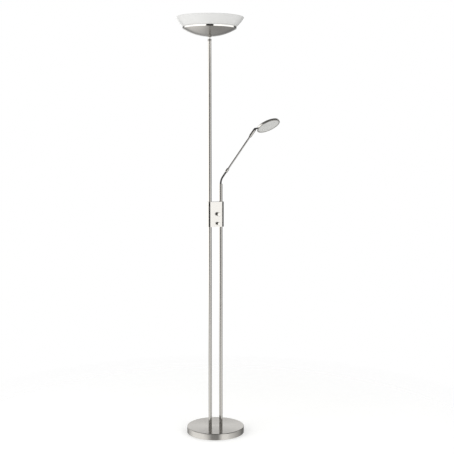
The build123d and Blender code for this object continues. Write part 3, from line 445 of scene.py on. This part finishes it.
# ------------------------------------------------------------------ dish
# Spun steel, satin nickel like the poles, with the fine rings of its spinning. A silicone gasket
# lies between its polished rim and the glass.

dish_nickel = satin_metal("dish_nickel", NICKEL, NICKEL_SHADE, left_pole, roughness=0.24)
paint(dish_nickel, "dish")
silicone = speckled("silicone", (0.66, 0.66, 0.65), (0.58, 0.58, 0.57), 0.55, 900, bump=0.1)
paint(silicone, "bowl_gasket")


# ------------------------------------------------------------------ glass bowl
# Blown opal glass with a satin surface and a fire-polished rim. It is white right through, so it
# has a soft depth under a thin gloss.

opal, wire, shader = finish_material("opal_glass", 0.22, coat=0.25)
place = own_place(wire, left_pole)
flow = noise(wire, place, 16.0, 3.0)
milk = mix_colours(wire, flow, (0.815, 0.815, 0.800, 1), (0.850, 0.850, 0.838, 1))
milk.into(shader, "Base Color")
(0.22 + (noise(wire, place, 90.0) - 0.5) * 0.1).into(shader, "Roughness")
waves = noise(wire, place, 28.0)
ripple = wire.add("Bump", None, {"Strength": 0.12, "Distance": 0.002, "Height": waves})
ripple.into(shader, "Normal")
paint(opal, "glass_bowl")
acrylic = speckled(
    "opal_acrylic", (0.84, 0.84, 0.825), (0.80, 0.80, 0.785), 0.38, 500, bump=0.05
)
paint(acrylic, "bowl_diffuser")


# ------------------------------------------------------------------ lights in the dish
# A round aluminium board with its diodes lies on a heat plate, which three posts hold up from the
# dish. The driver hangs under the plate, out of sight.

bare = speckled(
    "bare_aluminium", (0.640, 0.645, 0.650), (0.560, 0.565, 0.570), 0.35, 600, 1.0, 0.06
)
paint(bare, "heat_plate", "plate_spacers", "led_board", "head_board")
paint(zinc, "plate_screws")


# ------------------------------------------------------------------ gooseneck
# A wound metal hose in dark nickel, with a rib every two millimetres. It stands in a socket that
# turns in the stub.

hose_foot = Vector((0.025, 0, 1.0950))
hose_bend = 0.0522
hose_lean = radians(36.2)
rib_pitch = 0.002
rib_radii = (0.0036, 0.00385, 0.00397, 0.0040, 0.00397, 0.00385)
rib_count = 32
hose_start = -0.0021


def new_piece(name, mesh, material):
    """Makes a smooth, outward-facing object from a bmesh."""
    bmesh.ops.remove_doubles(mesh, verts=mesh.verts, dist=0.00001)
    bmesh.ops.recalc_face_normals(mesh, faces=mesh.faces)
    data = bpy.data.meshes.new(name)
    mesh.to_mesh(data)
    mesh.free()
    data.materials.append(material)
    data.shade_smooth()
    data.set_sharp_from_angle(angle=radians(50))
    piece = bpy.data.objects.new(name, data)
    scene.collection.objects.link(piece)
    return piece


mesh = bmesh.new()
made = bmesh.ops.create_circle(mesh, cap_ends=True, radius=rib_radii[0], segments=24)
ring = made["verts"]
rim = list({edge for vert in ring for edge in vert.link_edges})
radius = rib_radii[0]
for step in range(1, rib_count * len(rib_radii) + 1):
    grown = bmesh.ops.extrude_edge_only(mesh, edges=rim)["geom"]
    ring = [item for item in grown if isinstance(item, bmesh.types.BMVert)]
    rim = [item for item in grown if isinstance(item, bmesh.types.BMEdge)]
    wider = rib_radii[step % len(rib_radii)] / radius
    radius = radius * wider
    bmesh.ops.scale(mesh, verts=ring, vec=(wider, wider, 1))
    bmesh.ops.translate(mesh, verts=ring, vec=(0, 0, rib_pitch / len(rib_radii)))
bmesh.ops.holes_fill(mesh, edges=rim)
for vert in mesh.verts:
    along = vert.co.z + hose_start
    angle = min(max(along / hose_bend, 0), hose_lean)
    straight = Vector((sin(angle), 0, cos(angle))) * (along - angle * hose_bend)
    across = Vector((vert.co.x - hose_bend, vert.co.y, 0))
    across.rotate(Matrix.Rotation(angle, 3, "Y"))
    vert.co = hose_foot + Vector((hose_bend, 0, 0)) + across + straight

hose_nickel = satin_metal(
    "hose_nickel", (0.19, 0.183, 0.172), (0.13, 0.125, 0.117), right_pole, roughness=0.30
)
hose = new_piece("gooseneck_hose", mesh, hose_nickel)
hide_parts("gooseneck")
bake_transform(hose)
socket_nickel = satin_metal("socket_nickel", NICKEL, NICKEL_SHADE, right_pole, roughness=0.15)
paint(socket_nickel, "neck_socket")


# ------------------------------------------------------------------ rod
# A ferrule joins the hose to the slim rod, and a turned holder at the rod's end carries the
# black elbow. All three are drawn or turned and plated like the poles; the rod's colour is painted
# darker, as painted shade for the dim light its slant reflects.

arm_foot = (0.025, 0, 1.112062)
arm_turn = (0, hose_lean, 0)
# The rod's colour is the poles' nickel darkened by about a fifth: painted shade, not its own finish.
rod_nickel_painted_shade = satin_metal(
    "rod_nickel_painted_shade", (0.45, 0.436, 0.41), (0.40, 0.387, 0.365), arm_foot, arm_turn, 0.18
)
paint(rod_nickel_painted_shade, "rod")
arm_nickel = satin_metal("arm_nickel", NICKEL, NICKEL_SHADE, arm_foot, arm_turn, 0.18)
paint(arm_nickel, "ferrule", "holder")


# ------------------------------------------------------------------ elbow
# A black fork, pin and knuckle: the head tilts on the pin and turns on its stem in the knuckle.

black = speckled(
    "black_moulding", (0.028, 0.028, 0.029), (0.015, 0.015, 0.016), 0.36, 1100, bump=0.12
)
paint(black, "fork", "elbow_pin", "knuckle")


# ------------------------------------------------------------------ reading head
# A shallow aluminium cup with a domed back and a flat ring that holds the opal disc. A short stem
# with a nut carries it, and a board with the diodes is screwed to its bosses.

elbow = Vector((0.185763, 0, 1.331716))
stem_rise = radians(14.3)
stem_axis = Vector((cos(stem_rise), 0, sin(stem_rise)))
head_reach = 0.0625
head_centre = elbow + stem_axis * head_reach
head_roll = radians(28)
upright = Vector((-stem_axis.z, 0, stem_axis.x))
head_back = upright * cos(head_roll) + Vector((0, 1, 0)) * sin(head_roll)
head_turn = Matrix((stem_axis, head_back.cross(stem_axis), head_back)).transposed()
head_euler = tuple(head_turn.to_euler())
head_nickel = satin_metal(
    "head_nickel", (0.64, 0.625, 0.59), (0.56, 0.545, 0.51), head_centre, head_euler, 0.19
)
shell_radius = 0.0535
shell_wall = 0.0012
shell_face = -0.005
shell_shoulder = 0.004
dome_rise = 0.0032
dome_curve = (shell_radius**2 + dome_rise**2) / (2 * dome_rise)
dome_places = (0, 0.012, 0.024, 0.036, 0.046)


def dome_level(place, wall):
    """How high the shell's back is at a distance from its middle."""
    fall = dome_curve - sqrt(dome_curve**2 - place**2)
    return shell_shoulder + dome_rise - fall - wall


mesh = bmesh.new()
outline = [(place, dome_level(place, 0)) for place in dome_places]
outline.append((shell_radius, shell_shoulder))
outline.append((shell_radius, shell_face))
outline.append((shell_radius - shell_wall, shell_face))
outline.append((shell_radius - shell_wall, dome_level(shell_radius, shell_wall)))
outline.extend((place, dome_level(place, shell_wall)) for place in reversed(dome_places))
dots = [mesh.verts.new((place, 0, level)) for place, level in outline]
for first, second in zip(dots, dots[1:]):
    mesh.edges.new((first, second))
shoulder = dots[len(dome_places)]
shoulder_round = 0.0034
bmesh.ops.bevel(
    mesh, geom=[shoulder], offset=shoulder_round, segments=6, profile=0.5, affect="VERTICES"
)
bmesh.ops.spin(
    mesh, geom=mesh.verts[:] + mesh.edges[:], axis=(0, 0, 1), angle=2 * pi, steps=96, use_merge=True
)
place_head = Matrix.LocRotScale(head_centre, head_turn, None)
bmesh.ops.transform(mesh, matrix=place_head, verts=mesh.verts)
shell = new_piece("head_cup", mesh, head_nickel)
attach(shell, "head")
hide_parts("head_shell")
paint(head_nickel, "head_bezel")
# The opal disc is coloured darker than the bowl's diffuser: painted shade for its face turned down,
# away from the lamps.
frosted = speckled("frosted_disc_painted_shade", (0.75, 0.75, 0.73), (0.70, 0.70, 0.68), 0.42, 600, bump=0.05)
paint(frosted, "head_diffuser")
paint(zinc, "head_stem", "stem_nut", "head_screws")
